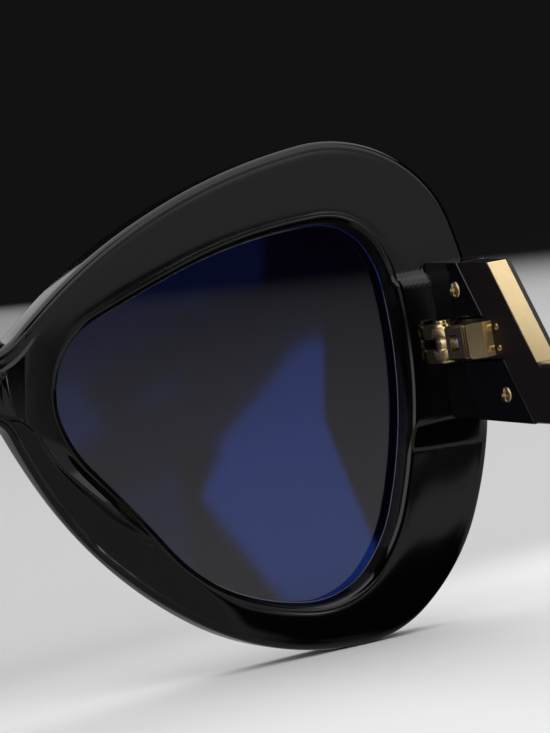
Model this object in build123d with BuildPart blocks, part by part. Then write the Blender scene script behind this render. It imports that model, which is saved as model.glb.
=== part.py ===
from build123d import *
import os
from math import atan2, cos, pi, radians, sin, sqrt, tan

# Butterfly sunglasses, standing on the rims and on the tips of the open temples.
# +Z is up, the outside of the front looks along -Y and the wearer's right is at -X.
# Sizes are in millimetres. Until a piece is handed over, y = 0 is the back of the bridge.

# Front
front_radius = 250.0
front_thickness = 5.0
edge_round = 0.9
bevel = 0.8
rim_back_lip = 2.4
groove_depth = 0.8
lens_thickness = 1.8
lens_clearance = 0.06

# Nose pads
pad_height = 2.6
pad_width = 4.6
pad_round = 1.2

# End pieces and temple heads
inner_face = 63.0
temple_thickness = 3.6
temple_slope = 4.0
head_height = 21.0
head_width = 7.0
split_place = 9.0
split_slant = 0.64
split_gap = 0.25
tab_height = 5.5
tab_gap = 0.2
tab_front = 1.0
end_plate_thickness = 1.2

# Hinge
axis_back = 12.6
axis_height = 38.0
axis_proud = 1.55
barrel_radius = 1.45
ear_thickness = 1.9
knuckle_thickness = 1.2
knuckle_clearance = 0.05
leaf_depth = 1.2
leaf_gap = 0.1
leaf_rear = 0.3
lobe_round = 0.85
pivot_radius = 0.5
pivot_clearance = 0.04
pivot_head_radius = 0.95
pivot_head_height = 0.5
housing_front = 14.9
housing_length = 6.3
housing_height = 4.6
housing_depth = 1.3
housing_wall = 0.6
housing_slope = 1.3
housing_rear_proud = 1.4
neck_width = 1.6
rod_radius = 0.45
rod_length = 4.0
anchor_radius = 0.95
anchor_thickness = 0.5
anchor_clearance = 0.1
spring_wire = 0.3
spring_turns = 6
spring_clearance = 0.07
window_start = 1.0
window_length = 1.7
window_height = 2.2
rib_width = 0.2
rib_pitch = 0.5
rib_count = 2

# Fasteners
screw_head_radius = 1.1
screw_head_height = 0.6
screw_head_proud = 0.15
screw_radius = 0.6
screw_rise = 6.9
screw_inset = 3.2
rivet_radius = 0.4
rivet_spacing = 2.8
rivet_depth = 2.0
rivet_proud = 0.12
rivet_gap = 1.1
fastener_clearance = 0.02

# Temples
step_foot = -2.4
arm_length = 80.0
arm_start_half = 4.05
arm_half = 3.0
bend_radius = 38.0
bend_angle = 36.0
tip_half = 3.4
arm_round = 0.7
trim_thickness = 0.5
trim_width = 3.0
core_radius = 0.6
core_clearance = 0.03
core_start = 8.0
core_end_cover = 9.0

# Half outlines, as (distance from the middle, height above the table). Each runs in arcs that
# leave one another smoothly, from the first heading on.
outline = [(0, 46.8), (6.4, 49.1), (23.8, 60.1), (48.7, 67.1), (61.6, 63.5), (67.8, 53.8), (69.6, 37.4),
           (64.6, 14.1), (55.7, 3.0), (46.6, 0), (24.8, 7.3), (7.2, 28.1), (3.5, 36.2)]
opening = [(49.7, 56.3), (56.6, 52.0), (58.0, 47.1), (57.9, 32.5), (54.1, 16.9), (49.9, 10.2), (40.2, 7.0),
           (31.1, 10.2), (22.3, 18.3), (13.7, 30.2), (10.7, 36.1), (17.1, 48.6), (29.4, 52.9), (49.7, 56.3)]
pad_spine = [(7.9, 33.2), (12.2, 24.6), (18.6, 16.3)]

# Places worked out from the sizes
tallest = 80.0
outer_face = inner_face + temple_thickness
plate_face = outer_face + end_plate_thickness
axis_x = -(inner_face - axis_proud)
slope = radians(temple_slope)
bend_turn = radians(bend_angle)
head_half = head_height / 2
tab_half = tab_height / 2
knuckle_half = knuckle_thickness / 2
ear_inner = knuckle_half + knuckle_clearance
ear_outer = ear_inner + ear_thickness
housing_half = housing_height / 2
housing_face = inner_face - axis_proud - barrel_radius - housing_wall / 4
housing_rear = housing_front + housing_length
rod_start = housing_front + housing_wall
anchor_start = rod_start + rod_length - anchor_thickness
cavity_radius = anchor_radius + spring_clearance
arm_start = (split_place - split_slant * step_foot + head_width, step_foot - arm_start_half)
bend_end = arm_length + bend_radius * bend_turn
bend_middle = (arm_length + bend_end) / 2


def side_plane(x):
    """The plane across the side at x: its first axis runs back along the temple, its second is up."""
    return Plane(origin=(x, axis_back, axis_height), x_dir=(0, cos(slope), -sin(slope)), z_dir=(1, 0, 0))


def rim_back(x):
    """How far back the rims' back face lies at the distance x from the middle."""
    return front_radius - sqrt(front_radius**2 - x**2)


def split_line(v):
    """How far behind the hinge axis the temple head's front edge lies, at the height v."""
    return split_place - split_slant * v


def step_line(v):
    """How far behind the hinge axis the slanted step at the rear of the head lies."""
    return split_line(v) + head_width


def arm_frame(distance):
    """Point and heading of the arm's centre line: a straight, the ear bend and a straight tip."""
    bent = min(max(distance - arm_length, 0) / bend_radius, bend_turn)
    past = distance - min(distance, arm_length) - bent * bend_radius
    u = arm_start[0] + min(distance, arm_length) + bend_radius * sin(bent) + past * cos(bent)
    v = arm_start[1] - bend_radius * (1 - cos(bent)) - past * sin(bent)
    return u, v, -bent


def arm_point(distance, side):
    """A point on the arm's upper (side 1) or lower (side -1) edge, or on its centre line (side 0)."""
    u, v, heading = arm_frame(distance)
    narrowing = min(distance / arm_length, 1)
    widening = max(distance - arm_length, 0) / (tip_distance - arm_length)
    half = arm_start_half + (arm_half - arm_start_half) * narrowing + (tip_half - arm_half) * widening
    return u - side * half * sin(heading), v + side * half * cos(heading)


# The tip is as long as it takes for its round end to touch the table
bend_end_u, bend_end_v, _ = arm_frame(bend_end)
bend_end_height = axis_height + bend_end_v * cos(slope) - bend_end_u * sin(slope)
tip_distance = bend_end + (bend_end_height - tip_half) / sin(bend_turn + slope)
tip_u, tip_v, _ = arm_frame(tip_distance)
rear = axis_back + tip_u * cos(slope) + tip_v * sin(slope) + tip_half
standing = Location((0, (front_thickness - rear) / 2, 0))


def hand_over(name, piece):
    """Stand a finished piece in its place about the middle of the whole, and write it."""
    placed = piece.moved(standing)
    placed.label = name
    export_step(placed, f"parts/{name}.step")


def hand_over_pair(name, piece):
    """Write the wearer's right piece and its mirrored twin on the left."""
    hand_over(name + "_right", piece)
    hand_over(name + "_left", mirror(piece, about=Plane.YZ))


def arcs_through(points, heading):
    """Arcs from point to point, each leaving in the direction in which the last one ended."""
    arcs = []
    for start, end in zip(points[:-1], points[1:]):
        arcs.append(TangentArc(start, end, tangent=heading))
        heading = arcs[-1] % 1
    return arcs


def curved_band(back, front):
    """A sheet bent like the front, between two depths ahead of the rims' back face."""
    spread = 40
    with BuildPart() as band:
        with BuildSketch(Plane.XY.offset(-tallest / 2)):
            with BuildLine():
                inner = CenterArc((0, front_radius), front_radius + back, 270 - spread / 2, spread)
                outer = CenterArc((0, front_radius), front_radius + front, 270 - spread / 2, spread)
                Line(inner @ 0, outer @ 0)
                Line(inner @ 1, outer @ 1)
            make_face()
        extrude(amount=2 * tallest)
    return band.part


def window(side, grow):
    """A straight prism through one lens opening, grown by a margin all round."""
    with BuildPart() as prism:
        with BuildSketch(Plane.XZ.offset(-tallest)):
            with BuildLine():
                arcs_through([(side * x, z) for x, z in opening], (side, 0))
            make_face()
            if grow > 0:
                offset(amount=grow, kind=Kind.ARC)
        extrude(amount=2 * tallest)
    return prism.part


def tab_box(grow):
    """The level box that the temple's tab fills in front of its head, grown by a margin."""
    front = axis_back + tab_front - grow
    length = axis_back + split_place + tab_half - front
    with BuildPart() as box:
        with Locations((-inner_face, front, axis_height)):
            Box(temple_thickness - tab_gap + grow, length, tab_height + 2 * grow,
                align=(Align.MAX, Align.MIN, Align.CENTER))
    return box.part


def arm_rod(radius):
    """A round rod along the middle of the arm, bent as the arm is."""
    with BuildPart() as rod:
        with BuildLine(side_plane(-(inner_face + outer_face) / 2)) as route:
            Line(arm_point(core_start, 0), arm_point(arm_length, 0))
            ThreePointArc(*[arm_point(s, 0) for s in (arm_length, bend_middle, bend_end)])
            Line(arm_point(bend_end, 0), arm_point(tip_distance - core_end_cover, 0))
        with BuildSketch(Plane(origin=route.line @ 0, z_dir=route.line % 0)):
            Circle(radius)
        sweep()
    return rod.part


os.makedirs("parts", exist_ok=True)

groove_back = rim_back_lip
groove_front = rim_back_lip + lens_thickness + 2 * lens_clearance
groove_band = curved_band(groove_back, groove_front)
lens_band = curved_band(groove_back + lens_clearance, groove_front - lens_clearance)
ahead_of_rims = curved_band(0, 8 * front_thickness)

# Front: one bent acetate plate with both lens openings, their grooves and rounded edges
with BuildPart() as front_frame:
    with BuildSketch(Plane.XZ.offset(-tallest)):
        with BuildLine():
            half = arcs_through(outline, (1, 0))
            arch_x, arch_z = outline[-1]
            arch_heading = atan2((half[-1] % 1).Y, (half[-1] % 1).X)
            arch_top = (0, arch_z + arch_x * tan((pi - arch_heading) / 2))
            half.append(TangentArc(outline[-1], arch_top, tangent=half[-1] % 1))
            mirror(half, about=Plane.YZ)
        make_face()
    extrude(amount=2 * tallest)
    add(curved_band(0, front_thickness), mode=Mode.INTERSECT)
    for side in (-1, 1):
        add(window(side, 0), mode=Mode.SUBTRACT)
    wide_faces = front_frame.faces().sort_by(SortBy.AREA)[-2:].sort_by(Axis.Y)
    fillet(wide_faces[0].edges() + wide_faces[1].outer_wire().edges(), radius=edge_round)
    wide_faces = front_frame.faces().sort_by(SortBy.AREA)[-2:].sort_by(Axis.Y)
    chamfer(wide_faces[1].inner_wires().edges(), length=bevel)
    for side in (-1, 1):
        add(window(side, groove_depth).intersect(groove_band), mode=Mode.SUBTRACT)
hand_over("front_frame", front_frame.part)

# Lenses: bent like the front, with their edges in the rims' grooves
with BuildPart() as lens:
    add(window(-1, groove_depth - lens_clearance))
    add(lens_band, mode=Mode.INTERSECT)
hand_over_pair("lens", lens.part)

# Nose pads: rounded acetate swellings bonded to the back of the rims beside the nose
with BuildPart() as nose_pad:
    with BuildSketch(Plane.XZ.offset(-tallest)):
        with BuildLine():
            ThreePointArc(*[(-x, z) for x, z in pad_spine])
            offset(amount=pad_width / 2, mode=Mode.REPLACE)
        make_face()
    extrude(amount=2 * tallest)
    add(curved_band(-pad_height, 0), mode=Mode.INTERSECT)
    fillet(nose_pad.faces().sort_by(SortBy.AREA)[-2:].sort_by(Axis.Y)[1].edges(), radius=pad_round)
hand_over_pair("nose_pad", nose_pad.part)

# End screws: two pan heads sunk in the end piece's inner face, with shanks into the end plate
screw_spots = [(split_line(v) - split_gap - screw_inset, v) for v in (screw_rise, -screw_rise)]
screw_head_sunk = screw_head_height - screw_head_proud
screw_reach = temple_thickness - screw_head_sunk + end_plate_thickness * 2 / 3
with BuildPart() as end_screws:
    with BuildSketch(side_plane(-inner_face - screw_head_sunk)):
        with Locations(*screw_spots):
            Circle(screw_head_radius)
    extrude(amount=screw_head_height)
    fillet(end_screws.edges().group_by(Axis.X)[-1], radius=screw_head_proud)
    with BuildSketch(side_plane(-inner_face - screw_head_sunk)):
        with Locations(*screw_spots):
            Circle(screw_radius)
    extrude(amount=-screw_reach)
    with BuildSketch(side_plane(-inner_face + screw_head_proud)):
        with Locations(*screw_spots):
            Rectangle(screw_head_radius * 1.2, screw_head_radius / 4)
            Rectangle(screw_head_radius / 4, screw_head_radius * 1.2)
    extrude(amount=-screw_head_height / 2, mode=Mode.SUBTRACT)
hand_over_pair("end_screws", end_screws.part)

with BuildPart() as end_screw_holes:
    with BuildSketch(side_plane(-inner_face - screw_head_sunk)):
        with Locations(*screw_spots):
            Circle(screw_head_radius + fastener_clearance)
    extrude(amount=screw_head_height)
    with BuildSketch(side_plane(-inner_face - screw_head_sunk)):
        with Locations(*screw_spots):
            Circle(screw_radius + fastener_clearance)
    extrude(amount=-screw_reach)

leaf_start = rim_back(inner_face + leaf_depth) + leaf_gap
leaf_end = axis_back + leaf_rear
with BuildPart() as leaf_pocket:
    with BuildSketch(Plane.XY.offset(axis_height - ear_outer)):
        with BuildLine():
            Polyline((-inner_face - leaf_depth, leaf_start), (-inner_face, leaf_start),
                     (-inner_face, leaf_end), (-inner_face - leaf_depth, leaf_end), close=True)
        make_face()
    extrude(amount=2 * ear_outer)

# End piece: a tall block behind the rim, with a slanted rear edge and a notch for the temple's tab
end_corners = [(-axis_back, head_half), (split_line(head_half) - split_gap, head_half),
               (split_line(-head_half) - split_gap, -head_half), (-axis_back, -head_half)]
with BuildPart() as end_block:
    with BuildSketch(side_plane(-outer_face)):
        with BuildLine():
            Polyline(*end_corners, close=True)
        make_face()
    extrude(amount=temple_thickness)
    add(ahead_of_rims, mode=Mode.SUBTRACT)
    add(tab_box(tab_gap), mode=Mode.SUBTRACT)
    add(end_screw_holes.part, mode=Mode.SUBTRACT)
    add(leaf_pocket.part, mode=Mode.SUBTRACT)
hand_over_pair("end_block", end_block.part)

# End plate: a metal plate on the outside of the end piece, drawn up by the two screws
with BuildPart() as end_plate:
    with BuildSketch(side_plane(-plate_face)):
        with BuildLine():
            Polyline(*end_corners, close=True)
        make_face()
    extrude(amount=end_plate_thickness)
    add(ahead_of_rims, mode=Mode.SUBTRACT)
    add(end_screw_holes.part, mode=Mode.SUBTRACT)
hand_over_pair("end_plate", end_plate.part)

# Front hinge leaf: a foot let into the end piece and two lobed ears round the pivot
with BuildPart() as hinge_front:
    for level in (ear_inner, -ear_outer):
        with BuildSketch(Plane.XY.offset(axis_height + level)):
            with BuildLine():
                Polyline((-inner_face, leaf_start), (axis_x + barrel_radius / 2, leaf_start),
                         (axis_x + barrel_radius, axis_back), (-inner_face, axis_back), close=True)
            make_face()
            with Locations((axis_x, axis_back)):
                Circle(barrel_radius)
        extrude(amount=ear_thickness)
    fillet(hinge_front.edges().filter_by(Axis.X).group_by(Axis.Y)[0], radius=lobe_round)
    add(leaf_pocket.part)
    with BuildSketch(Plane.XY.offset(axis_height - ear_outer)):
        with Locations((axis_x, axis_back)):
            Circle(pivot_radius + pivot_clearance)
    extrude(amount=2 * ear_outer, mode=Mode.SUBTRACT)
hand_over_pair("hinge_front", hinge_front.part)

# Pivot screw: its shank runs through both ears and the knuckle, and its slotted head is on top
with BuildPart() as hinge_screw:
    with BuildSketch(Plane.XY.offset(axis_height - ear_outer)):
        with Locations((axis_x, axis_back)):
            Circle(pivot_radius)
    extrude(amount=2 * ear_outer)
    with BuildSketch(Plane.XY.offset(axis_height + ear_outer)):
        with Locations((axis_x, axis_back)):
            Circle(pivot_head_radius)
    extrude(amount=pivot_head_height)
    with BuildSketch(Plane.XY.offset(axis_height + ear_outer + pivot_head_height)):
        with Locations((axis_x, axis_back)):
            Rectangle(2 * pivot_head_radius, pivot_head_radius / 3)
    extrude(amount=-pivot_head_height / 2, mode=Mode.SUBTRACT)
hand_over_pair("hinge_screw", hinge_screw.part)

# Knuckle: the round eye between the ears, with a neck and a rod that run back into the housing
with BuildPart() as hinge_knuckle:
    with BuildSketch(Plane.XY.offset(axis_height - knuckle_half)):
        with Locations((axis_x, axis_back)):
            Circle(barrel_radius)
            Rectangle(neck_width, rod_start - axis_back, align=(Align.CENTER, Align.MIN))
    extrude(amount=knuckle_thickness)
    with BuildSketch(Plane.XZ.offset(-rod_start)):
        with Locations((axis_x, axis_height)):
            Circle(rod_radius)
    extrude(amount=-rod_length)
    with BuildSketch(Plane.XY.offset(axis_height - knuckle_half)):
        with Locations((axis_x, axis_back)):
            Circle(pivot_radius + pivot_clearance)
    extrude(amount=knuckle_thickness, mode=Mode.SUBTRACT)
hand_over_pair("hinge_knuckle", hinge_knuckle.part)

# Anchor: the ring on the rod's rear end, which the coil bears on
with BuildPart() as hinge_anchor:
    with BuildSketch(Plane.XZ.offset(-anchor_start)):
        with Locations((axis_x, axis_height)):
            Circle(anchor_radius)
            Circle(rod_radius + fastener_clearance, mode=Mode.SUBTRACT)
    extrude(amount=-anchor_thickness)
hand_over_pair("hinge_anchor", hinge_anchor.part)

# Spring: a coil round the rod, between the housing's front wall and the anchor
coil_start = housing_front + housing_wall + spring_wire / 2 + spring_clearance
coil_end = anchor_start - spring_wire / 2 - spring_clearance
coil_length = coil_end - coil_start
coil_radius = anchor_radius - spring_wire / 2
with BuildPart() as hinge_spring:
    with BuildLine() as coil:
        Helix(pitch=coil_length / spring_turns, height=coil_length, radius=coil_radius,
              center=(axis_x, coil_start, axis_height), direction=(0, 1, 0))
    with BuildSketch(Plane(origin=coil.line @ 0, z_dir=coil.line % 0)):
        Circle(spring_wire / 2)
    sweep(is_frenet=True)
hand_over_pair("hinge_spring", hinge_spring.part)

# Housing: a box let into the temple's tab, bored for the rod and its coil, ribbed and sloped at the rear
slope_start = housing_rear - housing_slope
cavity_length = rod_length + anchor_clearance
with BuildPart() as hinge_housing:
    with BuildSketch(Plane.XY.offset(axis_height - housing_half)):
        with BuildLine():
            Polyline((-inner_face - housing_depth, housing_front), (-housing_face, housing_front),
                     (-housing_face, slope_start), (-inner_face + housing_rear_proud, housing_rear),
                     (-inner_face - housing_depth, housing_rear), close=True)
        make_face()
    extrude(amount=housing_height)
    chamfer(hinge_housing.edges().filter_by(Axis.Y).group_by(Axis.X)[-1], length=housing_wall / 2)
    with BuildSketch(Plane.XZ.offset(-housing_front - housing_wall)):
        with Locations((axis_x, axis_height)):
            Circle(cavity_radius)
    extrude(amount=-cavity_length, mode=Mode.SUBTRACT)
    with BuildSketch(Plane.XZ.offset(-housing_front)):
        with Locations((axis_x, axis_height)):
            Rectangle(neck_width + 2 * knuckle_clearance, 2 * ear_inner)
    extrude(amount=-housing_wall, mode=Mode.SUBTRACT)
    with BuildSketch(Plane.YZ.offset(axis_x)):
        with Locations((housing_front + window_start, axis_height)):
            Rectangle(window_length, window_height, align=(Align.MIN, Align.CENTER))
    extrude(amount=2 * barrel_radius, mode=Mode.SUBTRACT)
    with BuildSketch(Plane.YZ.offset(-housing_face)):
        for rib in range(rib_count):
            with Locations((slope_start - (rib + 1) * rib_pitch, axis_height)):
                Rectangle(rib_width, housing_height)
    extrude(amount=-rib_width, mode=Mode.SUBTRACT)
hand_over_pair("hinge_housing", hinge_housing.part)

# Rivets: two pins behind the housing that tie its foot to the temple
with BuildPart() as hinge_rivets:
    with BuildSketch(Plane.YZ.offset(-inner_face - rivet_depth)):
        with Locations((housing_rear + rivet_gap, axis_height)):
            with GridLocations(0, rivet_spacing, 1, 2):
                Circle(rivet_radius)
    extrude(amount=rivet_depth + rivet_proud)
hand_over_pair("hinge_rivets", hinge_rivets.part)

# Trim: a gilt strip let into the slanted step at the rear of the head
with BuildPart() as temple_trim:
    with BuildSketch(side_plane(-inner_face - trim_width)):
        with BuildLine():
            Polyline((step_line(head_half) - trim_thickness, head_half), (step_line(head_half), head_half),
                     (step_line(step_foot), step_foot), (step_line(step_foot) - trim_thickness, step_foot),
                     close=True)
        make_face()
    extrude(amount=trim_width)
hand_over_pair("temple_trim", temple_trim.part)

# Core: a stiffening wire shot into the arm
hand_over_pair("temple_core", arm_rod(core_radius))

# Temple: a flat acetate side with a tall head, a tab to the hinge, a low arm and an ear bend
stations = [0, arm_length / 3, arm_length * 2 / 3, arm_length, bend_middle, bend_end, tip_distance]
with BuildPart() as temple:
    with BuildSketch(side_plane(-outer_face)):
        with BuildLine():
            upper = Spline(*[arm_point(s, 1) for s in stations], tangents=[(1, 0), (cos(bend_turn), -sin(bend_turn))])
            lower_points = [(split_line(-head_half), -head_half)] + [arm_point(s, -1) for s in stations[1:]]
            lower = Spline(*lower_points, tangents=[(1, 0), (cos(bend_turn), -sin(bend_turn))])
            end_u = tip_u + tip_half * cos(bend_turn)
            end_v = tip_v - tip_half * sin(bend_turn)
            ThreePointArc(upper @ 1, (end_u, end_v), lower @ 1)
            Polyline(upper @ 0, (step_line(head_half), head_half), (split_line(head_half), head_half), lower @ 0)
        make_face()
    extrude(amount=temple_thickness)
    arm_edges = temple.edges().filter_by(lambda e: e.length > arm_length)
    fillet(arm_edges, radius=arm_round)
    add(tab_box(0))
    add(temple_trim.part, mode=Mode.SUBTRACT)
    add(arm_rod(core_radius + core_clearance), mode=Mode.SUBTRACT)
    with BuildSketch(Plane.XY.offset(axis_height - housing_half)):
        with BuildLine():
            Polyline((-inner_face - housing_depth, housing_front), (-inner_face, housing_front),
                     (-inner_face, housing_rear), (-inner_face - housing_depth, housing_rear), close=True)
        make_face()
    extrude(amount=housing_height, mode=Mode.SUBTRACT)
    with BuildSketch(Plane.YZ.offset(-inner_face - rivet_depth)):
        with Locations((housing_rear + rivet_gap, axis_height)):
            with GridLocations(0, rivet_spacing, 1, 2):
                Circle(rivet_radius + fastener_clearance)
    extrude(amount=rivet_depth, mode=Mode.SUBTRACT)
hand_over_pair("temple", temple.part)
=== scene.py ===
import bmesh
import bpy
import numpy as np
from mathutils import Matrix, Vector


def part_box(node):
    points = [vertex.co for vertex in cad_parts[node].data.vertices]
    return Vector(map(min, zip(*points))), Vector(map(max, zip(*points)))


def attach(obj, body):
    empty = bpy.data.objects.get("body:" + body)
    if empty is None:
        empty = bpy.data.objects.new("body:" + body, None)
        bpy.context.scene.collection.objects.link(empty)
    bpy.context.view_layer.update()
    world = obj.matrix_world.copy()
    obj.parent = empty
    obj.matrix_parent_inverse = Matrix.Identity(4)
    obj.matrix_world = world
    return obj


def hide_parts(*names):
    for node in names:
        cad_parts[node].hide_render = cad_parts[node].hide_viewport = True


# Butterfly sunglasses of glossy black acetate, seen from behind: the front, its lenses, the end
# pieces, the sprung hinges and the temples, in the order in which they are put together.
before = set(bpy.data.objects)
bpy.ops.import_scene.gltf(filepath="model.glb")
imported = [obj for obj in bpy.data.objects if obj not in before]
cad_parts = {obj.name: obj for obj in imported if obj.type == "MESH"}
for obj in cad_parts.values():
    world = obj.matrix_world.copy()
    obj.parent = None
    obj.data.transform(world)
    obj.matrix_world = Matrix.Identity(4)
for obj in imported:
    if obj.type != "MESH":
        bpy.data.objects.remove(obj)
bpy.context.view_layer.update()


# Front: one bent plate of polished black acetate with the bridge, both rims and the nose flanks.
# The rims are milled with a bevelled inner edge and a groove for the lens, and tumbled until
# every outer edge is round.
front_radius = 0.250
front_thickness = 0.005
edge_round = 0.0009
edge_width = 0.0012
bevel = 0.0008
bevel_run_out = 0.0005
wall_lean = 0.00035
rim_lip = 0.0024
groove_depth = 0.0008
groove_width = 0.00192
rim_centre = np.array([0.035, 0.032])
bridge_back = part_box("front_frame")[0].y + front_thickness
outline_corners = np.array([(0, 46.8), (6.4, 49.1), (23.8, 60.1), (48.7, 67.1), (61.6, 63.5), (67.8, 53.8),
                            (69.6, 37.4), (64.6, 14.1), (55.7, 3.0), (46.6, 0), (24.8, 7.3), (7.2, 28.1),
                            (3.5, 36.2)]) / 1000
opening_corners = np.array([(49.7, 56.3), (56.6, 52.0), (58.0, 47.1), (57.9, 32.5), (54.1, 16.9),
                            (49.9, 10.2), (40.2, 7.0), (31.1, 10.2), (22.3, 18.3), (13.7, 30.2),
                            (10.7, 36.1), (17.1, 48.6), (29.4, 52.9), (49.7, 56.3)]) / 1000


def arc_run(corners, heading, steps=60):
    """Arcs from corner to corner, each leaving as the last one ended. An arc over the chord c that
    turns by 2a has, at its share t, the point sin(at) / sin(a) of c away from its start, turned
    a(t - 1) off c. Gives the points and the heading at each of them."""
    points, headings = [], []
    for start, end in zip(corners[:-1], corners[1:]):
        chord = end - start
        chord_angle = np.arctan2(chord[1], chord[0])
        half_turn = (chord_angle - heading + np.pi) % (2 * np.pi) - np.pi
        t = np.linspace(0, 1, steps, endpoint=False)
        reach = np.hypot(*chord) * np.sin(half_turn * t) / np.sin(half_turn)
        angle = chord_angle + half_turn * (t - 1)
        points.append(start + reach[:, None] * np.stack([np.cos(angle), np.sin(angle)], 1))
        headings.append(heading + 2 * half_turn * t)
        heading += 2 * half_turn
    return np.concatenate([*points, corners[-1:]]), np.concatenate([*headings, [heading]])


def evenly(points, headings, count):
    """Points and headings at even distances along a line of points."""
    length = np.concatenate([[0], np.cumsum(np.hypot(*np.diff(points, axis=0).T))])
    at = np.linspace(0, length[-1], count)
    return np.stack([np.interp(at, length, points[:, k]) for k in (0, 1)], 1), np.interp(at, length, headings)


def soften(path, cuts, steps=5):
    """A polyline whose corners are eased: each corner C gives way to the curve
    (1-t)^2 A + 2t(1-t) C + t^2 B between the points A and B, one cut before and one cut after it."""
    path = np.asarray(path, float)
    t = np.linspace(0, 1, steps)[:, None]
    pieces = [path[:1]]
    for before, corner, after, cut in zip(path[:-2], path[1:-1], path[2:], cuts):
        start = corner + (before - corner) * cut / np.hypot(*(before - corner))
        end = corner + (after - corner) * cut / np.hypot(*(after - corner))
        pieces.append((1 - t) ** 2 * start + 2 * t * (1 - t) * corner + t**2 * end)
    return np.concatenate([*pieces, path[-1:]])


def ease(x):
    """Nought below 0, one above 1, and 3x^2 - 2x^3 between them."""
    x = np.clip(x, 0, 1)
    return x * x * (3 - 2 * x)


def evened(values, reach, **padding):
    """The mean of each value and its neighbours up to a reach away on both sides."""
    share = np.ones(2 * reach + 1) / (2 * reach + 1)
    return np.convolve(np.pad(values, reach, **padding), share, mode="valid")


def grid_faces(rows, columns, wrap_rows=False, wrap_columns=False):
    """Quads between neighbours of a grid of points that is numbered row by row."""
    number = np.arange(rows * columns).reshape(rows, columns)
    if wrap_rows:
        number = np.concatenate([number, number[:1]], 0)
    if wrap_columns:
        number = np.concatenate([number, number[:, :1]], 1)
    corners = [number[:-1, :-1], number[1:, :-1], number[1:, 1:], number[:-1, 1:]]
    return np.stack(corners, -1).reshape(-1, 4)


def merged(points, faces):
    """Points that coincide are made one. Quads that lose one edge become triangles, and quads that lose
    more, or lie in the middle plane, go."""
    flat_in_middle = np.all(np.abs(points[faces][:, :, 0]) < 1e-9, axis=1)
    _, first, number = np.unique(np.round(points, 8), axis=0, return_index=True, return_inverse=True)
    faces = number.reshape(-1)[faces[~flat_in_middle]]
    lost = faces == np.roll(faces, -1, axis=1)
    folded = (faces[:, 0] == faces[:, 2]) | (faces[:, 1] == faces[:, 3])
    narrow = (lost.sum(1) == 1) & ~folded
    corners = (np.argmax(lost[narrow], 1)[:, None] + [1, 2, 3]) % 4
    triangles = np.take_along_axis(faces[narrow], corners, 1)
    return points[first], faces[(lost.sum(1) == 0) & ~folded].tolist() + triangles.tolist()


def make_piece(name, points, faces, finish, body, stands_for=()):
    """A smooth mesh whose faces point outwards, riding on a body in place of its solids."""
    points = np.asarray(points, float)
    a, b, c = np.moveaxis(points[np.array([face[:3] for face in faces])], 1, 0) - points.mean(0)
    if np.sum(np.cross(a, b) * c) < 0:
        faces = [face[::-1] for face in faces]
    mesh = bpy.data.meshes.new(name)
    mesh.from_pydata(points.tolist(), [], faces)
    mesh.shade_smooth()
    mesh.materials.append(finish)
    mesh.validate()
    made = bpy.data.objects.new(name, mesh)
    bpy.context.scene.collection.objects.link(made)
    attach(made, body)
    if stands_for:
        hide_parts(*stands_for)


class Value:
    """A number that changes over a surface. Sums and products of it add the Math nodes they need."""

    def __init__(self, finish, socket):
        self.finish, self.socket = finish, socket

    def _with(self, operation, first, second):
        return self.finish.node("Math", {"operation": operation}, {0: first, 1: second})

    def __add__(self, other):
        return self._with("ADD", self, other)

    def __radd__(self, other):
        return self._with("ADD", other, self)

    def __sub__(self, other):
        return self._with("SUBTRACT", self, other)

    def __rsub__(self, other):
        return self._with("SUBTRACT", other, self)

    def __mul__(self, other):
        return self._with("MULTIPLY", self, other)

    def __rmul__(self, other):
        return self._with("MULTIPLY", other, self)

    def __truediv__(self, other):
        return self._with("DIVIDE", self, other)


class Network:
    """The nodes of a material or of the world, with one method that adds any node."""

    def __init__(self, tree):
        self.tree = tree

    def feed(self, socket, value):
        """Links a socket to a changing value, or sets it."""
        if isinstance(value, Value):
            self.tree.links.new(value.socket, socket)
        else:
            socket.default_value = value

    def node(self, kind, settings=None, inputs=None, output=0):
        """Adds a node, sets its own settings first and then its inputs, and gives one of its outputs."""
        made = self.tree.nodes.new("ShaderNode" + kind)
        for key, value in (settings or {}).items():
            setattr(made, key, value)
        for key, value in (inputs or {}).items():
            self.feed(made.inputs[key], value)
        return Value(self, made.outputs[output])

    def place(self):
        """The place on the piece, in its own coordinates, in metres."""
        return self.node("TexCoord", output="Object")

    def along(self, axis):
        """One coordinate of that place."""
        return self.node("SeparateXYZ", inputs={0: self.place()}, output=axis)

    def step(self, value, start, end):
        """Rises smoothly from 0 to 1 as a value goes from start to end."""
        return self.node("MapRange", {"interpolation_type": "SMOOTHSTEP"},
                         {"Value": value, "From Min": start, "From Max": end})

    def patch(self, first, first_limits, second, second_limits, soft):
        """One inside the limits of two values, nought outside, with soft edges."""
        inside = 1.0
        for value, (low, high) in ((first, first_limits), (second, second_limits)):
            inside = inside * self.step(value, low - soft, low + soft)
            inside = inside * (1 - self.step(value, high - soft, high + soft))
        return inside

    def noise(self, scale, detail, roughness=0.5):
        """Soft noise over the piece, from 0 to 1."""
        return self.node("TexNoise", inputs={"Vector": self.place(), "Scale": scale, "Detail": detail,
                                             "Roughness": roughness})

    def mix(self, factor, first, second):
        """A colour between two colours, either of which may change over the surface."""
        first, second = (colour if isinstance(colour, Value) else (*colour, 1) for colour in (first, second))
        return self.node("Mix", {"data_type": "RGBA"}, {"Factor": factor, 6: first, 7: second}, output=2)


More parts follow.
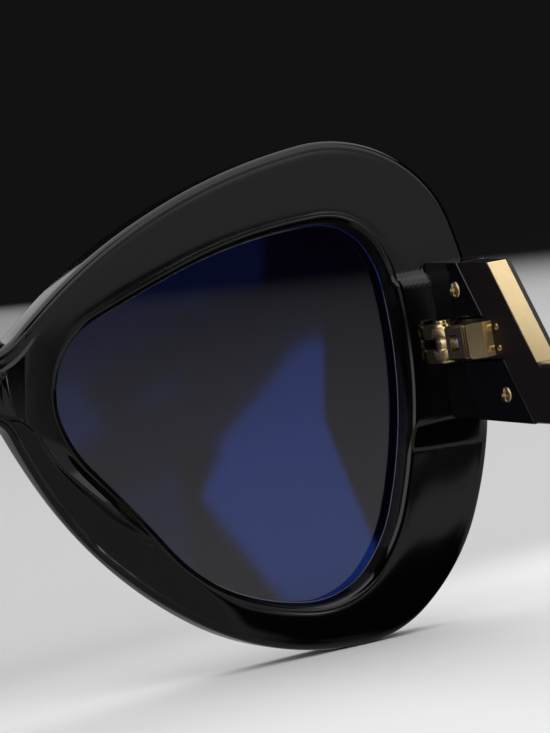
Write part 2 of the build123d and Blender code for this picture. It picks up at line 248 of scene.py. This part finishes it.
class Finish(Network):
    """A material and its Principled surface."""

    def __init__(self, name, **sockets):
        self.material = bpy.data.materials.new(name)
        self.material.use_nodes = True
        super().__init__(self.material.node_tree)
        self.surface = self.tree.nodes["Principled BSDF"]
        for socket, value in sockets.items():
            self.wear(socket.replace("_", " "), value)

    def wear(self, socket, value):
        """Feeds one socket of the surface."""
        self.feed(self.surface.inputs[socket], value)

    def bump(self, height, distance, strength):
        """Bends the surface's normal by a height."""
        self.wear("Normal", self.node("Bump", inputs={"Height": height, "Distance": distance,
                                                      "Strength": strength}))


def polished_acetate(name, deep, clouded, roughness):
    """Tumbled and buffed acetate: nearly black, faintly clouded, with buffing haze and slight waves."""
    finish = Finish(name, IOR=1.5)
    cloud = finish.noise(90, 3)
    haze = finish.noise(900, 4, 0.6)
    finish.wear("Base Color", finish.mix(cloud, deep, clouded))
    finish.wear("Roughness", roughness + haze * 0.04)
    finish.bump(finish.noise(160, 1), 0.00002, 0.5)
    return finish.material


black_acetate = polished_acetate("black_acetate", (0.0007, 0.0007, 0.0009), (0.0016, 0.0016, 0.0018), 0.06)


def bent_back(x, depth):
    """The place along Y of a point that lies a depth ahead of the bent back face, at a distance x."""
    return bridge_back + front_radius - np.sqrt((front_radius + depth) ** 2 - x**2)


def left_of(headings):
    """The unit direction to the left of a heading, which on both contours points away from the lens."""
    return np.stack([-np.sin(headings), np.cos(headings)], 1)


def bearing(points):
    """The direction of points as seen from the rim's centre, with no jump of a full turn in it."""
    return np.unwrap(np.arctan2(*(points - rim_centre).T[::-1]))


# The contour of one half runs from the bridge's top round the rim to the nose, and up the arch to
# the middle, where a short straight line closes it.
outline_points, outline_headings = arc_run(outline_corners, 0.0)
arch_side = outline_corners[-1]
arch_turn = (outline_headings[-1] + 2 * np.pi) % (2 * np.pi)
arch_top = np.array([0, arch_side[1] + arch_side[0] * np.tan((np.pi - arch_turn) / 2)])
arch_points, arch_headings = arc_run(np.array([arch_side, arch_top]), outline_headings[-1])
outline_points = np.concatenate([outline_points, arch_points[1:]])
outline_headings = np.concatenate([outline_headings, arch_headings[1:]])
opening_points, opening_headings = arc_run(opening_corners, 0.0)

outer_stations = 340
middle_stations = 12
outer, outer_headings = evenly(outline_points, outline_headings, outer_stations)
outer_away = left_of(outer_headings)
outer_away[0], outer_away[-1] = (0, 1), (0, -1)
middle_heights = np.linspace(outer[-1, 1] + edge_width, outer[0, 1] - edge_width, middle_stations + 2)[1:-1]
middle = np.stack([0 * middle_heights, middle_heights], 1)
rim_outer = np.concatenate([outer, middle])
rim_away = np.concatenate([outer_away, 0 * middle])
stations = len(rim_outer)

# Each station of the contour has its partner on the opening in the same direction from the rim's
# centre. At the arch's top the directions don't fall steadily, so on the way there they are spread
# evenly, which keeps the lines that cross the bridge apart. Then each one is evened with the seven
# on both its sides.
spread_from = 318
rim_bearing = bearing(rim_outer)
rim_bearing[spread_from:] = np.linspace(rim_bearing[spread_from], rim_bearing[-1], stations - spread_from)
rim_bearing = evened(rim_bearing, 7, mode="reflect", reflect_type="odd")
opening_bearing = bearing(opening_points)
wrapped = opening_bearing[0] - (opening_bearing[0] - rim_bearing) % (2 * np.pi)
rising = slice(None, None, -1)
rim_inner = np.stack([np.interp(wrapped, opening_bearing[rising], opening_points[rising, k])
                      for k in (0, 1)], 1)
inner_away = left_of(np.interp(wrapped, opening_bearing[rising], opening_headings[rising]))

# The section of the rim, once round: across the back, down into the opening and its groove,
# across the front and up the outer edge. Each row is a loop round the rim. The wall of the opening
# leans out towards the back.
inner_section = soften([(bevel + bevel_run_out, 0), (bevel, 0), (wall_lean, bevel - wall_lean),
                        (0, rim_lip), (groove_depth, rim_lip), (groove_depth, rim_lip + groove_width),
                        (0, rim_lip + groove_width), (0, front_thickness),
                        (bevel + bevel_run_out, front_thickness)],
                       [0.0003, 0.0003, 0.0001, 0.0001, 0.0001, 0.0001, 0.0006])
outer_section = soften([(edge_width, front_thickness), (0, front_thickness), (0, 0), (edge_width, 0)],
                       [edge_round, edge_round], steps=8)
across_back = np.linspace(1, 0, 50)[1:-1, None, None]
across_front = np.linspace(0, 1, 12)[1:-1, None, None]
inner_loops = rim_inner + inner_section[:, :1, None] * inner_away
outer_loops = rim_outer - outer_section[:, :1, None] * rim_away
back_loops = inner_loops[0] + across_back * (outer_loops[-1] - inner_loops[0])
front_loops = inner_loops[-1] + across_front * (outer_loops[0] - inner_loops[-1])
loops = np.concatenate([back_loops, inner_loops, front_loops, outer_loops])
x, z = loops[..., 0], loops[..., 1]
share_out = np.concatenate([across_back[:, 0, 0], 0 * inner_section[:, 0], across_front[:, 0, 0],
                            0 * outer_section[:, 0] + 1])[:, None]
depth = np.concatenate([0 * across_back[:, 0, 0], inner_section[:, 1],
                        0 * across_front[:, 0, 0] + front_thickness, outer_section[:, 1]])[:, None]

# The nose flank: a crest crosses the rim from the arch to the opening. Inside it the back swells
# into a nose pad; outside it there's a steep step, and then the back falls away to the outer edge.
# The lists give the direction from the rim's centre in degrees and the value there.
flank = np.degrees(np.mod(rim_bearing, 2 * np.pi))
rim_width = np.hypot(*(rim_outer - rim_inner).T)
swell_run = 0.0018
step_run = 0.0009
fall_curve = 1.3


def along_flank(bearings, values):
    """Values between the given bearings, evened out over nine stations so that none shows as a kink."""
    return evened(np.interp(flank, bearings, values), 4, mode="edge")


crest_share = along_flank([146, 160, 182, 187, 191, 198, 206, 210, 215, 219],
                          [0.80, 0.62, 0.58, 0.48, 0.42, 0.35, 0.28, 0.15, 0.05, 0.0])
pad_height = along_flank([178, 186, 193, 200, 208, 213, 217],
                         [0, 0.0003, 0.0009, 0.0012, 0.0012, 0.0008, 0])
step_height = along_flank([146, 160, 172, 184, 204, 213, 219],
                          [0, 0.0002, 0.0005, 0.0008, 0.0008, 0.0006, 0])
fall = along_flank([146, 160, 172, 184, 200, 222, 238, 256],
                   [0, 0.0003, 0.0008, 0.0014, 0.0019, 0.0020, 0.0013, 0])
past_crest = (share_out - crest_share) * rim_width
swell = pad_height * ease(share_out * rim_width / swell_run)
stepped = (pad_height + step_height) * ease(past_crest / step_run)
fallen = fall * np.clip(past_crest / (rim_width * (1 - crest_share)), 0, 1) ** fall_curve
lift = stepped + fallen - swell

# The back is slightly crowned away from the nose, and the bridge rises to a soft ridge in the
# middle, which is wider and higher towards its top.
crown = 0.00005
ridge_slope = 0.11
ridge_reach = 0.0050
ridge_widening = 0.19
ridge_level = 0.038
ridge_round = 0.0003
crowned = crown * np.abs(2 * share_out - 1) ** 4 * along_flank([125, 150, 180, 205], [1, 0, 0, 1])
ridge_width = ridge_reach + ridge_widening * (z - ridge_level)
ridge = ridge_slope * np.maximum(ridge_width - np.hypot(x, ridge_round), 0)

# Beside the hinge the rim rises straight from the opening to a low foot for the end piece, which
# is higher towards the outside.
foot_height = 0.0006
foot_slope = 0.06
foot_middle = 0.058


def raised(value, start, rise, end, drop):
    """One between a start and an end: it eases in over the rise and out over the drop."""
    return ease((value - start) / rise) * (1 - ease((value - end) / drop))


foot = (foot_height + foot_slope * (x - foot_middle)) * raised(x, 0.0520, 0.0040, 0.0668, 0.0015)
foot = foot * raised(z, 0.0240, 0.0040, 0.0466, 0.0011)

back_share = np.clip(1 - depth / np.where(share_out == 0, rim_lip, front_thickness - edge_round), 0, 1)
rim_depth = depth + (lift + crowned - ridge - foot) * back_share
half = np.stack([x, bent_back(x, rim_depth), z], -1).reshape(-1, 3)
half_faces = grid_faces(len(loops), stations, wrap_rows=True, wrap_columns=True)
front_points = np.concatenate([half, half * (-1, 1, 1)])
front_faces = np.concatenate([half_faces, half_faces[:, ::-1] + len(half)])
front_points, front_faces = merged(front_points, front_faces)
make_piece("front", front_points, front_faces, black_acetate, "front",
           ("front_frame", "nose_pad_right", "nose_pad_left"))


# Lenses: grey tinted sheets bent like the front, ground a little hollow, held by their edges in
# the rims' grooves. Their backs carry a blue anti-reflection coating.
lens_play = 0.00006
lens_thickness = 0.0018
lens_back = rim_lip + lens_play
lens_front = lens_back + lens_thickness
lens_bite = groove_depth - lens_play
lens_hollow = 0.0013
hollow_reach = 0.026
flat_from, flat_over = 0.970, 0.030


def tinted_lens():
    """Grey tint that is deeper at the top, under a blue coating; wiping leaves a trace of haze."""
    finish = Finish("tinted_lens", IOR=1.5, Specular_Tint=(0.05, 0.17, 1.0, 1))
    height = finish.step(finish.along("Z"), 0.008, 0.046)
    finish.wear("Alpha", 0.810 - (1 - height) * 0.045)
    wiped = finish.noise(60, 3)
    finish.wear("Base Color", finish.mix(wiped, (0.0018, 0.0008, 0.0045), (0.0028, 0.0014, 0.0062)))
    finish.wear("Roughness", 0.02 + finish.noise(500, 3) * 0.02)
    return finish.material


lens_tint = tinted_lens()
seat, seat_headings = evenly(opening_points, opening_headings, 361)
seat_away = left_of(seat_headings)
lens_edge = (seat + lens_bite * seat_away)[:-1]
lens_shares = np.concatenate([np.linspace(0, 0.96, 36), np.linspace(0.965, 1, 6)])[:, None, None]
lens_rings = rim_centre + lens_shares * (lens_edge - rim_centre)
from_middle = np.hypot(*(lens_rings - rim_centre).transpose(2, 0, 1)) / hollow_reach
towards_edge = ease((lens_shares[..., 0] - flat_from) / flat_over)
hollow = lens_hollow * (1 - from_middle**2) * (1 - towards_edge)
for side, side_name in ((-1, "right"), (1, "left")):
    layers = []
    for lens_depth, rings in ((lens_back, slice(None)), (lens_front, slice(None, None, -1))):
        x, z = lens_rings[rings, :, 0], lens_rings[rings, :, 1]
        layers.append(np.stack([side * x, bent_back(x, lens_depth + hollow[rings]), z], -1))
    lens_points = np.concatenate(layers)
    faces = grid_faces(len(lens_points), lens_points.shape[1], wrap_columns=True)
    lens_points, faces = merged(lens_points.reshape(-1, 3), faces)
    make_piece("tinted_lens_" + side_name, lens_points, faces, lens_tint, "front",
               ("lens_" + side_name,))

# A narrow pale band at the foot of each rim's wall, next to the lens's back edge, is a painted highlight: it
# stands in for the bright line that runs round each lens's edge. The band's section gives how far it lies
# outside the opening, and how deep.
pale_edge_highlight = Finish("pale_edge_highlight", Roughness=0.5, IOR=1.5)
pale_edge_highlight.wear("Base Color",
                 pale_edge_highlight.mix(pale_edge_highlight.noise(300, 2), (0.22, 0.20, 0.24), (0.30, 0.28, 0.32)))
edge_section = np.array([(-0.00004, rim_lip + 0.00002), (0.00030, rim_lip - 0.00050),
                         (0.00034, rim_lip - 0.00046), (0.00010, rim_lip + 0.00010)])
band = (seat + edge_section[:, :1, None] * seat_away)[:, :-1]
for side, side_name in ((-1, "right"), (1, "left")):
    x, z = band[..., 0], band[..., 1]
    band_points = np.stack([side * x, bent_back(x, edge_section[:, 1:]), z], -1)
    faces = grid_faces(*band.shape[:2], wrap_rows=True, wrap_columns=True)
    make_piece("lens_edge_" + side_name, band_points.reshape(-1, 3), faces.tolist(), pale_edge_highlight.material,
               "front")


# End pieces: blocks of the front's acetate behind the rims, each with a lacquered metal plate on its
# outside, drawn up by two gilt screws. Every edge is broken by polishing.
block_edge = 0.00035
plate_edge = 0.00020


def eased_copy(name, node, width, finish, body):
    """A welded copy of a solid whose sharp edges are broken by a narrow bevel, standing for the solid."""
    form = bmesh.new()
    form.from_mesh(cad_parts[node].data)
    bmesh.ops.remove_doubles(form, verts=form.verts, dist=2e-6)
    bmesh.ops.dissolve_limit(form, angle_limit=np.radians(1.0), verts=form.verts, edges=form.edges)
    mesh = bpy.data.meshes.new(name)
    form.to_mesh(mesh)
    form.free()
    mesh.materials.clear()
    mesh.materials.append(finish)
    mesh.shade_smooth()
    made = bpy.data.objects.new(name, mesh)
    bpy.context.scene.collection.objects.link(made)
    broken_edges = made.modifiers.new("eased_edges", "BEVEL")
    broken_edges.width = width
    broken_edges.segments = 2
    broken_edges.limit_method = "ANGLE"
    broken_edges.angle_limit = np.radians(32)
    even_shine = made.modifiers.new("even_shine", "WEIGHTED_NORMAL")
    even_shine.keep_sharp = False
    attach(made, body)
    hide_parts(node)
    return made


def plated(name, colour, roughness):
    """Polished and plated metal with fine brushing and a little uneven shine."""
    finish = Finish(name, Metallic=1.0)
    duller = tuple(0.86 * c for c in colour)
    finish.wear("Base Color", finish.mix(finish.noise(700, 2), colour, duller))
    finish.wear("Roughness", roughness + finish.noise(2500, 3) * 0.08)
    return finish.material


lacquer = polished_acetate("black_lacquer", (0.008, 0.008, 0.009), (0.012, 0.012, 0.013), 0.14)
gilt = plated("gilt_metal", (0.88, 0.68, 0.38), 0.16)
satin_gilt = plated("satin_gilt", (0.90, 0.68, 0.36), 0.34)
for side_name in ("right", "left"):
    eased_copy("end_piece_" + side_name, "end_block_" + side_name, block_edge, black_acetate, "front")
    eased_copy("end_shield_" + side_name, "end_plate_" + side_name, plate_edge, lacquer, "front")


# End screws: two small gilt pan heads with a cross recess on each side. They are turned from metal,
# driven in from inside, and sit in the end piece's inner face.
head_radius = 0.0011
head_sink = 0.00015
head_crown = 0.00022
head_rim = 0.00010
crown_rings = 26
recess_depth = 0.00035
recess_arm = 0.00010
recess_reach = 0.00072
recess_wall = 0.00008
recess_end = 0.00012


def button(outline, centre, profile):
    """Rings of one outline about its centre, in Y and Z. Each ring is the outline times a share, at its
    height along X."""
    outline, profile = np.asarray(outline), np.asarray(profile)
    rings = centre + profile[:, :1, None] * (outline - centre)
    heights = np.repeat(profile[:, 1:2], len(outline), 1)
    points = np.stack([heights, rings[..., 0], rings[..., 1]], -1)
    return points, grid_faces(len(profile), len(outline), wrap_columns=True)


def circle(centre, radius, count):
    """Points round a circle."""
    turn = np.linspace(0, 2 * np.pi, count, endpoint=False)
    return np.asarray(centre) + radius * np.stack([np.cos(turn), np.sin(turn)], 1)


def dome(top, edge, rings):
    """A profile from the middle outwards: a crown that falls from the top to the edge by the 0.8th power
    of a cosine, and a short skirt that closes it underneath."""
    turn = np.linspace(0, np.pi / 2, rings)
    crown = np.stack([np.sin(turn), edge + (top - edge) * np.cos(turn) ** 0.8], 1)
    underside = edge - 0.0004
    return np.concatenate([crown, [(1.0, underside), (0.0, underside)]])


for side, side_name in ((-1, "right"), (1, "left")):
    low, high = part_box("end_screws_" + side_name)
    across = high.z - low.z - 2 * head_radius
    along = high.y - low.y - 2 * head_radius
    inner_x = min(abs(high.x), abs(low.x)) + head_sink
    for place, share in (("upper", 0), ("lower", 1)):
        centre = np.array([low.y + head_radius + share * along, high.z - head_radius - share * across])
        profile = dome(-inner_x + head_crown, -inner_x - head_rim, crown_rings)
        points, faces = button(circle(centre, head_radius, 96), centre, profile)
        off_y, off_z = points[..., 1] - centre[0], points[..., 2] - centre[1]
        in_arms = 1 - ease((np.minimum(np.abs(off_y), np.abs(off_z)) - recess_arm) / recess_wall)
        recess = in_arms * (1 - ease((np.hypot(off_y, off_z) - recess_reach) / recess_end))
        points[:crown_rings, :, 0] -= recess_depth * recess[:crown_rings]
        points[..., 0] *= -side
        points, faces = merged(points.reshape(-1, 3), faces)
        stands_for = ("end_screws_" + side_name,) if place == "upper" else ()
        make_piece("end_screw_" + place + "_" + side_name, points, faces, gilt, "front",
                   stands_for)


# Hinges: gilt leaves with two rounded lobes round the knuckle, a slotted pivot screw, and a
# ribbed housing that holds the coil. They are cast, plated and polished.
steel = plated("bright_steel", (0.55, 0.55, 0.56), 0.22)
hinge_pieces = (("hinge_leaf", "hinge_front", "front", 0.00022),
                ("hinge_pivot", "hinge_screw", "front", 0.00010),
                ("hinge_box", "hinge_housing", "temple", 0.00012),
                ("hinge_eye", "hinge_knuckle", "knuckle", 0.00010),
                ("hinge_pins", "hinge_rivets", "temple", 0.00006))
for side_name in ("right", "left"):
    for piece, node, body, width in hinge_pieces:
        body = body if body == "front" else body + "_" + side_name
        eased_copy(piece + "_" + side_name, node + "_" + side_name, width, gilt, body)
    for node, finish in (("hinge_anchor", gilt), ("hinge_spring", steel)):
        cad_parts[node + "_" + side_name].data.materials.clear()
        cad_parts[node + "_" + side_name].data.materials.append(finish)

# Each leaf ends in two domed lobes with round outlines, one above and one below the knuckle's slot.
# A lobe's outline is half a round over a straight foot, which lies beside the slot.
axis_y = bridge_back + 0.0126
lobe_middle = np.array([axis_y, 0.038])
lobe_half_length = 0.00185
lobe_foot = 0.00070
lobe_rise = 0.00195
lobe_crown_height = 0.0015
lobe_crown_x, lobe_edge_x = -0.05990, -0.06080
half_round = np.linspace(0, np.pi, 40)
round_side = np.stack([lobe_half_length * np.cos(half_round),
                       lobe_foot + lobe_rise * np.sin(half_round) ** 0.8], 1)
foot_places = np.linspace(-lobe_half_length, lobe_half_length, 14)[1:-1]
straight_side = np.stack([foot_places, 0 * foot_places + lobe_foot], 1)
lobe_outline = np.concatenate([round_side, straight_side])
for side, side_name in ((-1, "right"), (1, "left")):
    for place, up in (("upper", 1), ("lower", -1)):
        outline = lobe_middle + lobe_outline * (1, up)
        centre = lobe_middle + (0, up * lobe_crown_height)
        points, faces = button(outline, centre, dome(lobe_crown_x, lobe_edge_x, 16))
        points[..., 0] *= -side
        points, faces = merged(points.reshape(-1, 3), faces)
        make_piece("hinge_lobe_" + place + "_" + side_name, points, faces, satin_gilt, "front")


# Temples: flat arms of dark brown acetate pressed round a steel core, with a gilt strip on the slanted step
# of each head. Mirrored rays pass through them, because a dark patch of painted shade on the mirrored table
# below stands in for their reflections.
temple_edge = 0.00030
strip_edge = 0.00008
wire_edge = 0.00002
temple_acetate = polished_acetate("temple_acetate", (0.009, 0.0055, 0.0055), (0.013, 0.0085, 0.0085), 0.22)
for side_name in ("right", "left"):
    body = "temple_" + side_name
    arm = eased_copy("temple_side_" + side_name, "temple_" + side_name, temple_edge, temple_acetate, body)
    arm.visible_glossy = False
    eased_copy("step_strip_" + side_name, "temple_trim_" + side_name, strip_edge, gilt, body)
    core = eased_copy("temple_wire_" + side_name, "temple_core_" + side_name, wire_edge, steel, body)
    core.visible_glossy = False


# Stage: a pale table with painted light on it: it is painted lighter near the glasses and darker ahead of the
# front, and its far end is painted nearly black, which stands in for the dark of the room. The room's light
# is plain and grey, but the camera, mirrored rays and rays through the lenses see it dark.
def stage_sheet(name, corners, finish):
    """A flat four-cornered sheet that isn't part of the object."""
    mesh = bpy.data.meshes.new(name)
    mesh.from_pydata([list(c) for c in corners], [], [[0, 1, 2, 3]])
    mesh.materials.append(finish)
    made = bpy.data.objects.new(name, mesh)
    bpy.context.scene.collection.objects.link(made)
    return made


table_top = Finish("table_top", Roughness=0.8, Specular_IOR_Level=0.0)
to_far_end = table_top.along("X") * -0.962 + table_top.along("Y") * 0.273
# Painted light: the table is painted lighter from just ahead of the front back towards the camera, and darker
# farther ahead.
painted_light_near = table_top.step(table_top.along("Y"), -0.120, -0.085)
pale_with_painted_light = table_top.mix(painted_light_near, (0.54, 0.535, 0.53), (0.76, 0.76, 0.755))
# Painted shade: past a slanting line the table is painted nearly black, standing in for the dark room.
painted_dark_far_end = table_top.step(to_far_end, 0.42, 0.80)
table_top.wear("Base Color", table_top.mix(painted_dark_far_end, pale_with_painted_light, (0.0125, 0.0120, 0.0125)))
table_half = 12
stage_sheet("table", [(-table_half, -table_half, 0), (table_half, -table_half, 0),
                      (table_half, table_half, 0), (-table_half, table_half, 0)], table_top.material)

world = bpy.data.worlds.new("room")
bpy.context.scene.world = world
world.use_nodes = True
room = Network(world.node_tree)
rays = [room.node("LightPath", output=name)
        for name in ("Is Camera Ray", "Is Glossy Ray", "Is Transmission Ray")]
seen = room.node("Math", {"operation": "MAXIMUM"}, {0: rays[0], 1: rays[1]})
seen = room.node("Math", {"operation": "MAXIMUM"}, {0: seen, 1: rays[2]})
room.feed(room.tree.nodes["Background"].inputs["Color"],
          room.mix(seen, (0.50, 0.50, 0.51), (0.006, 0.006, 0.0065)))


# What the polished pieces mirror, painted on glowing sheets: the table dimmed, with painted shade in place of
# the temples' reflections and painted dark patches for the rim, the lens's side and the nose flank, up to its
# near edge, and beyond it a bright window low down and a grey wall above it. Only mirrored rays meet them.
def mirrored_sheet(name, corners, brightest, glow):
    """A glowing sheet that only mirrored rays meet. The glow, worked out from its finish, goes up to the
    brightest one."""
    finish = Finish(name, Base_Color=(0, 0, 0, 1), Specular_IOR_Level=0.0, Emission_Strength=brightest)
    finish.wear("Emission Color", finish.mix(glow(finish) / brightest, (0, 0, 0), (1, 1, 1)))
    made = stage_sheet(name, corners, finish.material)
    made.visible_camera = False
    made.visible_diffuse = False
    made.visible_transmission = False
    made.visible_shadow = False


window_back = bridge_back + 0.450
window_glow = 3.0
side_glow = 1.2
front_glow = 1.0


def painted_table_reflection(finish):
    """The dimmed table with its painted shade, the lit window's foot, and one bright spot and a streak that
    paint highlights.
    """
    x = finish.along("X")
    y = finish.along("Y") - bridge_back
    table = 0.42 * finish.patch(x, (-0.245, 0.600), y, (-0.900, 0.329), 0.003)
    past_table = 0.12 * finish.patch(x, (-0.330, -0.020), y, (0.329, 0.470), 0.004)
    # Painted highlight: a narrow bright strip that shows as a light band on the rim's back.
    past_table = past_table + 0.35 * finish.patch(x, (-0.090, -0.074), y, (0.325, 0.345), 0.003)
    # Painted shade: dark patches that stand in for the temples' reflections and for the shade by the rim, the
    # lens's side and the nose flank.
    temple_shade = finish.patch(x, (-0.100, -0.050), y, (0.178, 0.287), 0.004)
    rim_shade = finish.patch(x, (-0.074, -0.036), y, (0.006, 0.094), 0.004)
    side_shade = finish.patch(x + (y - 0.280) * 0.45, (-0.067, 0.300), y, (0.290, 0.345), 0.003)
    side_shade = side_shade + finish.patch(x, (-0.066, 0.200), y, (0.345, 0.470), 0.004)
    nose_shade = 0.45 * finish.patch(x, (-0.036, 0.060), y, (-0.060, 0.110), 0.010)
    window_slant = x + (y - 0.370) * 0.95
    window_foot = (window_glow - 0.6) * finish.patch(window_slant, (-0.082, 0.200), y, (0.368, 0.470), 0.006)
    window_foot = window_foot * (1 - finish.step(x + (y - 0.370) * 0.12, -0.069, -0.065))
    # Painted highlights: a bright spot that shows as a small highlight in the lens and on the nose pad, and a
    # streak that shows as one in the lens.
    bright_spot = 0.9 * finish.patch(x, (-0.226, -0.192), y, (0.325, 0.362), 0.006)
    streak = 0.8 * finish.patch(x, (-0.172, -0.140), y, (0.357, 0.363), 0.003)
    unshaded = (1 - temple_shade) * (1 - rim_shade) * (1 - side_shade) * (1 - nose_shade)
    return (table + past_table) * unshaded + window_foot + bright_spot + streak


def glow_on_wall(finish):
    """A bright low window with the grey wall above and beside it, and a lighter wall high up."""
    x, z = finish.along("X"), finish.along("Z")
    window = window_glow * finish.patch(x - z * 2.9, (-0.184, 0.300), z, (-0.020, 0.024), 0.006)
    window = window * finish.step(x + z * 5.3, -0.147, -0.139)
    window = window * (1 - finish.step(x - z * 1.08, -0.081, -0.076))
    wall = 0.40 * finish.patch(x, (-0.245, -0.020), z, (0.036, 0.600), 0.005)
    beside = 0.40 * finish.patch(x, (-0.245, -0.182), z, (-0.020, 0.036), 0.004)
    high = 0.8 * finish.patch(x, (-0.245, -0.020), z, (0.110, 0.600), 0.010)
    return window + wall + beside + high


def glow_at_side(finish):
    """A wall that is dark at its foot and bright above it."""
    return side_glow * finish.step(finish.along("Z"), 0.0, 0.05)


def glow_before_front(finish):
    """A wall that comes up out of the dark between 15 and 30 cm above the table."""
    return front_glow * finish.step(finish.along("Z"), 0.15, 0.30)


over_table = 0.0003
table_front = bridge_back - 0.5
mirrored_sheet("mirrored_table", [(-0.9, table_front, over_table), (0.9, table_front, over_table),
                                  (0.9, window_back, over_table), (-0.9, window_back, over_table)],
               window_glow, painted_table_reflection)
mirrored_sheet("mirrored_wall", [(-0.9, window_back, 0), (0.9, window_back, 0), (0.9, window_back, 0.6),
                                 (-0.9, window_back, 0.6)], window_glow, glow_on_wall)
mirrored_sheet("mirrored_side", [(0.45, -0.30, 0), (0.45, 0.60, 0), (0.45, 0.60, 0.45), (0.45, -0.30, 0.45)],
               side_glow, glow_at_side)
mirrored_sheet("mirrored_front", [(-0.2, -1.0, 0.12), (2.2, -1.0, 0.12), (2.2, -1.0, 1.3), (-0.2, -1.0, 1.3)],
               front_glow, glow_before_front)


# Lamp: one large square soft box over the table, to the wearer's right, that faces straight down. It
# lights the glasses and leaves a soft shadow under the rim.
soft_box_place = Vector((-0.35, 0.15, 1.10))
soft_box = bpy.data.lights.new("soft_box_over", "AREA")
soft_box.shape = "RECTANGLE"
soft_box.size, soft_box.size_y = 1.9, 1.9
soft_box.energy = 17.0
hung = bpy.data.objects.new("soft_box_over", soft_box)
hung.location = soft_box_place
hung.rotation_mode = "QUATERNION"
hung.rotation_quaternion = Vector((0, 0, -soft_box_place.z)).to_track_quat("-Z", "Y")
bpy.context.scene.collection.objects.link(hung)


# Camera: close behind the wearer's right lens, a little above the table and rolled to the right.
# Its focal length is given in pixels of the picture, whose longer side is its height.
view_turn, view_tilt, view_roll = np.radians(150), np.radians(3), np.radians(9.5)
view_distance = 0.330
view_target = np.array([-0.04218, bridge_back, 0.0386])
focal_pixels = 2475
picture_height = 733
film_height = 36
away = np.array([np.sin(view_turn) * np.cos(view_tilt), -np.cos(view_turn) * np.cos(view_tilt),
                 np.sin(view_tilt)])
level_right = np.cross(-away, (0, 0, 1))
level_right /= np.linalg.norm(level_right)
level_up = np.cross(level_right, -away)
optics = bpy.data.cameras.new("camera")
optics.sensor_width = film_height
optics.lens = focal_pixels * film_height / picture_height
optics.clip_start = 0.01
camera = bpy.data.objects.new("camera", optics)
bpy.context.scene.collection.objects.link(camera)
stand = np.eye(4)
stand[:3, 0] = np.cos(view_roll) * level_right - np.sin(view_roll) * level_up
stand[:3, 1] = np.sin(view_roll) * level_right + np.cos(view_roll) * level_up
stand[:3, 2] = away
stand[:3, 3] = view_target + view_distance * away
camera.matrix_world = Matrix(stand.tolist())
bpy.context.scene.camera = camera
bpy.context.scene.view_settings.view_transform = "Standard"
